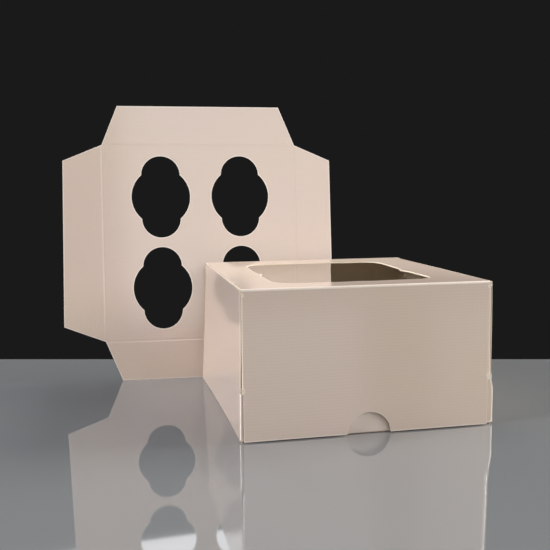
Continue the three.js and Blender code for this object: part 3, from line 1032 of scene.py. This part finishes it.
def tray_flap_patch(stops, half_along, half_across, axis, side):
    """One flap with its crease: rows run outwards, columns through the given border places.

    The flap is a trapezium. Its half width is half_across + t up to the crease's middle, t being
    the way gone out from the quadrants' border, and then shrinks by the taper over its depth.
    """
    groove = CREASE_MARGIN + CREASE_HALF * np.array([-1.3, -1, -0.9, -0.6, 0, 0.6, 0.9, 1, 1.3])
    reach = CREASE_MARGIN + TRAY_FLAP
    past = np.unique(
        np.concatenate([[0], groove[groove > 0], lines(groove[-1], reach - EDGE_BAND, reach)]).round(5)
    )
    grown = np.where(
        past < CREASE_MARGIN,
        half_across + past,
        half_across + CREASE_MARGIN - TRAY_TAPER * (past - CREASE_MARGIN) / TRAY_FLAP,
    )
    across, out = np.meshgrid(stops / half_across, past)
    points = np.zeros((*across.shape, 3))
    points[..., 1 - axis] = across * grown[:, None]
    points[..., axis] = side * (half_along + out)
    points[..., 2] = crease_depth(out)
    faces = quads(*across.shape)
    turned = faces if (side > 0) == (axis == 1) else faces[:, ::-1]
    return patch(points, turned)


def both_halves(places):
    """Border places of both halves in order, each of them once and not rounded."""
    places = np.concatenate([places, -places])
    return places[np.unique(places.round(4), return_index=True)[1]]


def mirrored(piece, sign_x, sign_y):
    """The same patch in another quadrant, turned over again if it was mirrored once."""
    points, flat, faces = piece
    signs = np.array([sign_x, sign_y, 1])
    return points * signs, flat * signs[:2], faces if sign_x * sign_y > 0 else faces[:, ::-1]


near_x = np.isclose(border[:, 0], inner_x, atol=1e-6)
near_y = np.isclose(border[:, 1], inner_y, atol=1e-6)
print(near_x.sum(), "border places on the side,", near_y.sum(), "at the top")

# %% [markdown]
# ## The tray where it stands
#
# The sheet leans back against nothing that shows, with its right side a little nearer. Its foot,
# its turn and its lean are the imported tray's. It stands a little further right than that, its left
# flap is slightly askew and its right flap slightly shorter, as in the photograph.

# %% Place the tray
TRAY_YAW = math.radians(-3.2)
TRAY_LEAN = math.radians(7.35)
TRAY_MIDDLE = -82.0  # along the carton's width
tray_foot_y = back + SLIT + (TRAY_HALF_X - TRAY_TAPER) * math.sin(-TRAY_YAW)
TRAY_FOOT = np.array([TRAY_MIDDLE, tray_foot_y, 0])


def tray_place(points):
    """Stands the flat sheet up, leans it back and turns it. Its side flaps are a little off."""
    x, y, z = points.T
    on_flap = np.clip((np.abs(x) - inner_x) / TRAY_FLAP, 0, 1)
    off = np.where(x > 0, LEFT_FLAP_TURN * y / TRAY_HALF_Y, -RIGHT_FLAP_SHORT) * on_flap
    x = TRAY_SHIFT + off - x
    rise = y + TRAY_HALF_Y + TRAY_FLAP
    ahead = rise * math.sin(TRAY_LEAN) + z * math.cos(TRAY_LEAN)
    up = rise * math.cos(TRAY_LEAN) - z * math.sin(TRAY_LEAN) + BOARD * math.sin(TRAY_LEAN)
    turned_x = x * math.cos(TRAY_YAW) - ahead * math.sin(TRAY_YAW)
    turned_y = x * math.sin(TRAY_YAW) + ahead * math.cos(TRAY_YAW)
    return np.stack([turned_x, turned_y, up], axis=-1) + TRAY_FOOT


hole_ring = ring_patch(np.array([CUP_X, CUP_Y]), border, cup_radius, [0, 0.3, 0.65, 1])
side_stops = both_halves(border[near_x, 1])
top_stops = both_halves(border[near_y, 0])
tray_patches = [mirrored(hole_ring, sx, sy) for sx in (-1, 1) for sy in (-1, 1)]
for side in (-1, 1):
    tray_patches.append(tray_flap_patch(side_stops, inner_x, inner_y, 0, side))
    tray_patches.append(tray_flap_patch(top_stops, inner_y, inner_x, 1, side))
tray = board_piece("tray_sheet", tray_patches, BOARD_FINISHES, tray_place)
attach(tray, "base")
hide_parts("cup_tray")

# %% [markdown]
# ## Table, lights and camera
#
# The object stands on a grey, glossy table top that ends just behind it, in a dark room. Large
# soft lights at the left and the right give the board its broad sheen, weaker ones stand in front
# and above, and one behind lights the back. The camera is the photograph's: its place and turn
# come from fitting the carton's corners.

# %% The table top
TABLE_LEVEL = -0.05  # just under the board, so that the two faces don't lie in one plane
TABLE_THICKNESS = 25
TABLE_HALF_WIDTH = 1600
TABLE_DEPTH = 2200
TABLE_GREY = (0.23, 0.242, 0.249, 1)
TABLE_ROUGHNESS = 0.02
TABLE_IOR = 2.5
TABLE_TURN = math.radians(-13.66)
TABLE_EDGE = np.array([-13.4, 131.5])  # a place on the far edge


def table_slab(name, outline):
    """A plain slab under the given outline, which runs against the clock seen from above."""
    finish = Finish(name)
    place = finish.node("ShaderNodeTexCoord", {}, out=3)
    smear = finish.noise(place, 9.0, detail=3.0)
    shader = finish.node(
        "ShaderNodeBsdfPrincipled",
        {},
        Base_Color=TABLE_GREY,
        Roughness=smear * 0.03 + TABLE_ROUGHNESS,
        IOR=TABLE_IOR,
    )
    levels = (-TABLE_THICKNESS, TABLE_LEVEL)
    corners = [(x * MM, y * MM, z * MM) for z in levels for x, y in outline]
    sides = [(i, (i + 1) % 4, (i + 1) % 4 + 4, i + 4) for i in range(4)]
    mesh = bpy.data.meshes.new(name)
    mesh.from_pydata(corners, [], [(3, 2, 1, 0), (4, 5, 6, 7), *sides])
    mesh.materials.append(finish.ends_with(shader))
    slab = bpy.data.objects.new(name, mesh)
    bpy.context.scene.collection.objects.link(slab)


along_edge = np.array([math.cos(TABLE_TURN), math.sin(TABLE_TURN)])
to_front = np.array([along_edge[1], -along_edge[0]])
far_left = TABLE_EDGE - TABLE_HALF_WIDTH * along_edge
far_right = TABLE_EDGE + TABLE_HALF_WIDTH * along_edge
near_left, near_right = (far + TABLE_DEPTH * to_front for far in (far_left, far_right))
table_slab("table_top", [far_left, near_left, near_right, far_right])


# %% Soft lights
AIM = (0, 0, 0.06)
LIGHT_SIZE = 0.8


def soft_light(name, place, power, colour=(1, 1, 1), size=LIGHT_SIZE):
    """A square area light at a place, turned towards the carton, in metres and watts."""
    light = bpy.data.lights.new(name, "AREA")
    light.size = size
    light.energy = power
    light.color = colour
    lamp = bpy.data.objects.new(name, light)
    bpy.context.scene.collection.objects.link(lamp)
    lamp.location = place
    away = (lamp.location - type(lamp.location)(AIM)).normalized()
    lamp.rotation_euler = away.to_track_quat("Z", "Y").to_euler()


soft_light("front_light", (0.1, -1.5, 0.55), 3.15, (0.96, 0.95, 1.0))
soft_light("front_right_light", (1.0, -1.3, 0.55), 2.2, (1.0, 0.96, 0.95))
soft_light("near_right_light", (1.1, -1.0, 0.7), 5.9, (1.0, 0.945, 0.88))
soft_light("left_light", (-1.3, -0.1, 0.6), 22.0, (0.965, 0.955, 1.0))
soft_light("right_light", (1.5, 0.0, 0.86), 32.0, (1.0, 0.97, 0.93))
soft_light("top_light", (0.5, 0.2, 1.0), 2.0)
soft_light("rear_light", (-0.1, 1.3, 1.25), 6.0, size=1.0)
ROOM_GREY = 0.0103
world = bpy.data.worlds.new("dark_room")
world.use_nodes = True
world.node_tree.nodes["Background"].inputs["Color"].default_value = (ROOM_GREY, ROOM_GREY, ROOM_GREY, 1)
bpy.context.scene.world = world

# %% The photograph's camera
from mathutils import Matrix, Vector

FOCAL_PIXELS = 759.67
PICTURE_PIXELS = 550
CAMERA_PLACE = (-0.15301, -0.51260, 0.15364)
YAW, PITCH, ROLL = (math.radians(a) for a in (-12.269, -6.797, -0.318))
camera_data = bpy.data.cameras.new("photo_camera")
camera_data.sensor_width = 36
camera_data.lens = FOCAL_PIXELS / PICTURE_PIXELS * camera_data.sensor_width
camera_data.clip_start = 0.01
camera = bpy.data.objects.new("photo_camera", camera_data)
forward = Vector((-math.sin(YAW) * math.cos(PITCH), math.cos(YAW) * math.cos(PITCH), math.sin(PITCH)))
level = Vector((math.cos(YAW), math.sin(YAW), 0))
upward = level.cross(forward)
right = math.cos(ROLL) * level + math.sin(ROLL) * upward
upward = -math.sin(ROLL) * level + math.cos(ROLL) * upward
turn = Matrix((right, upward, -forward)).transposed().to_4x4()
camera.matrix_world = Matrix.Translation(CAMERA_PLACE) @ turn
bpy.context.scene.collection.objects.link(camera)
bpy.context.scene.camera = camera
bpy.context.scene.view_settings.view_transform = "Standard"
print(f"lens {camera_data.lens:.2f} mm")
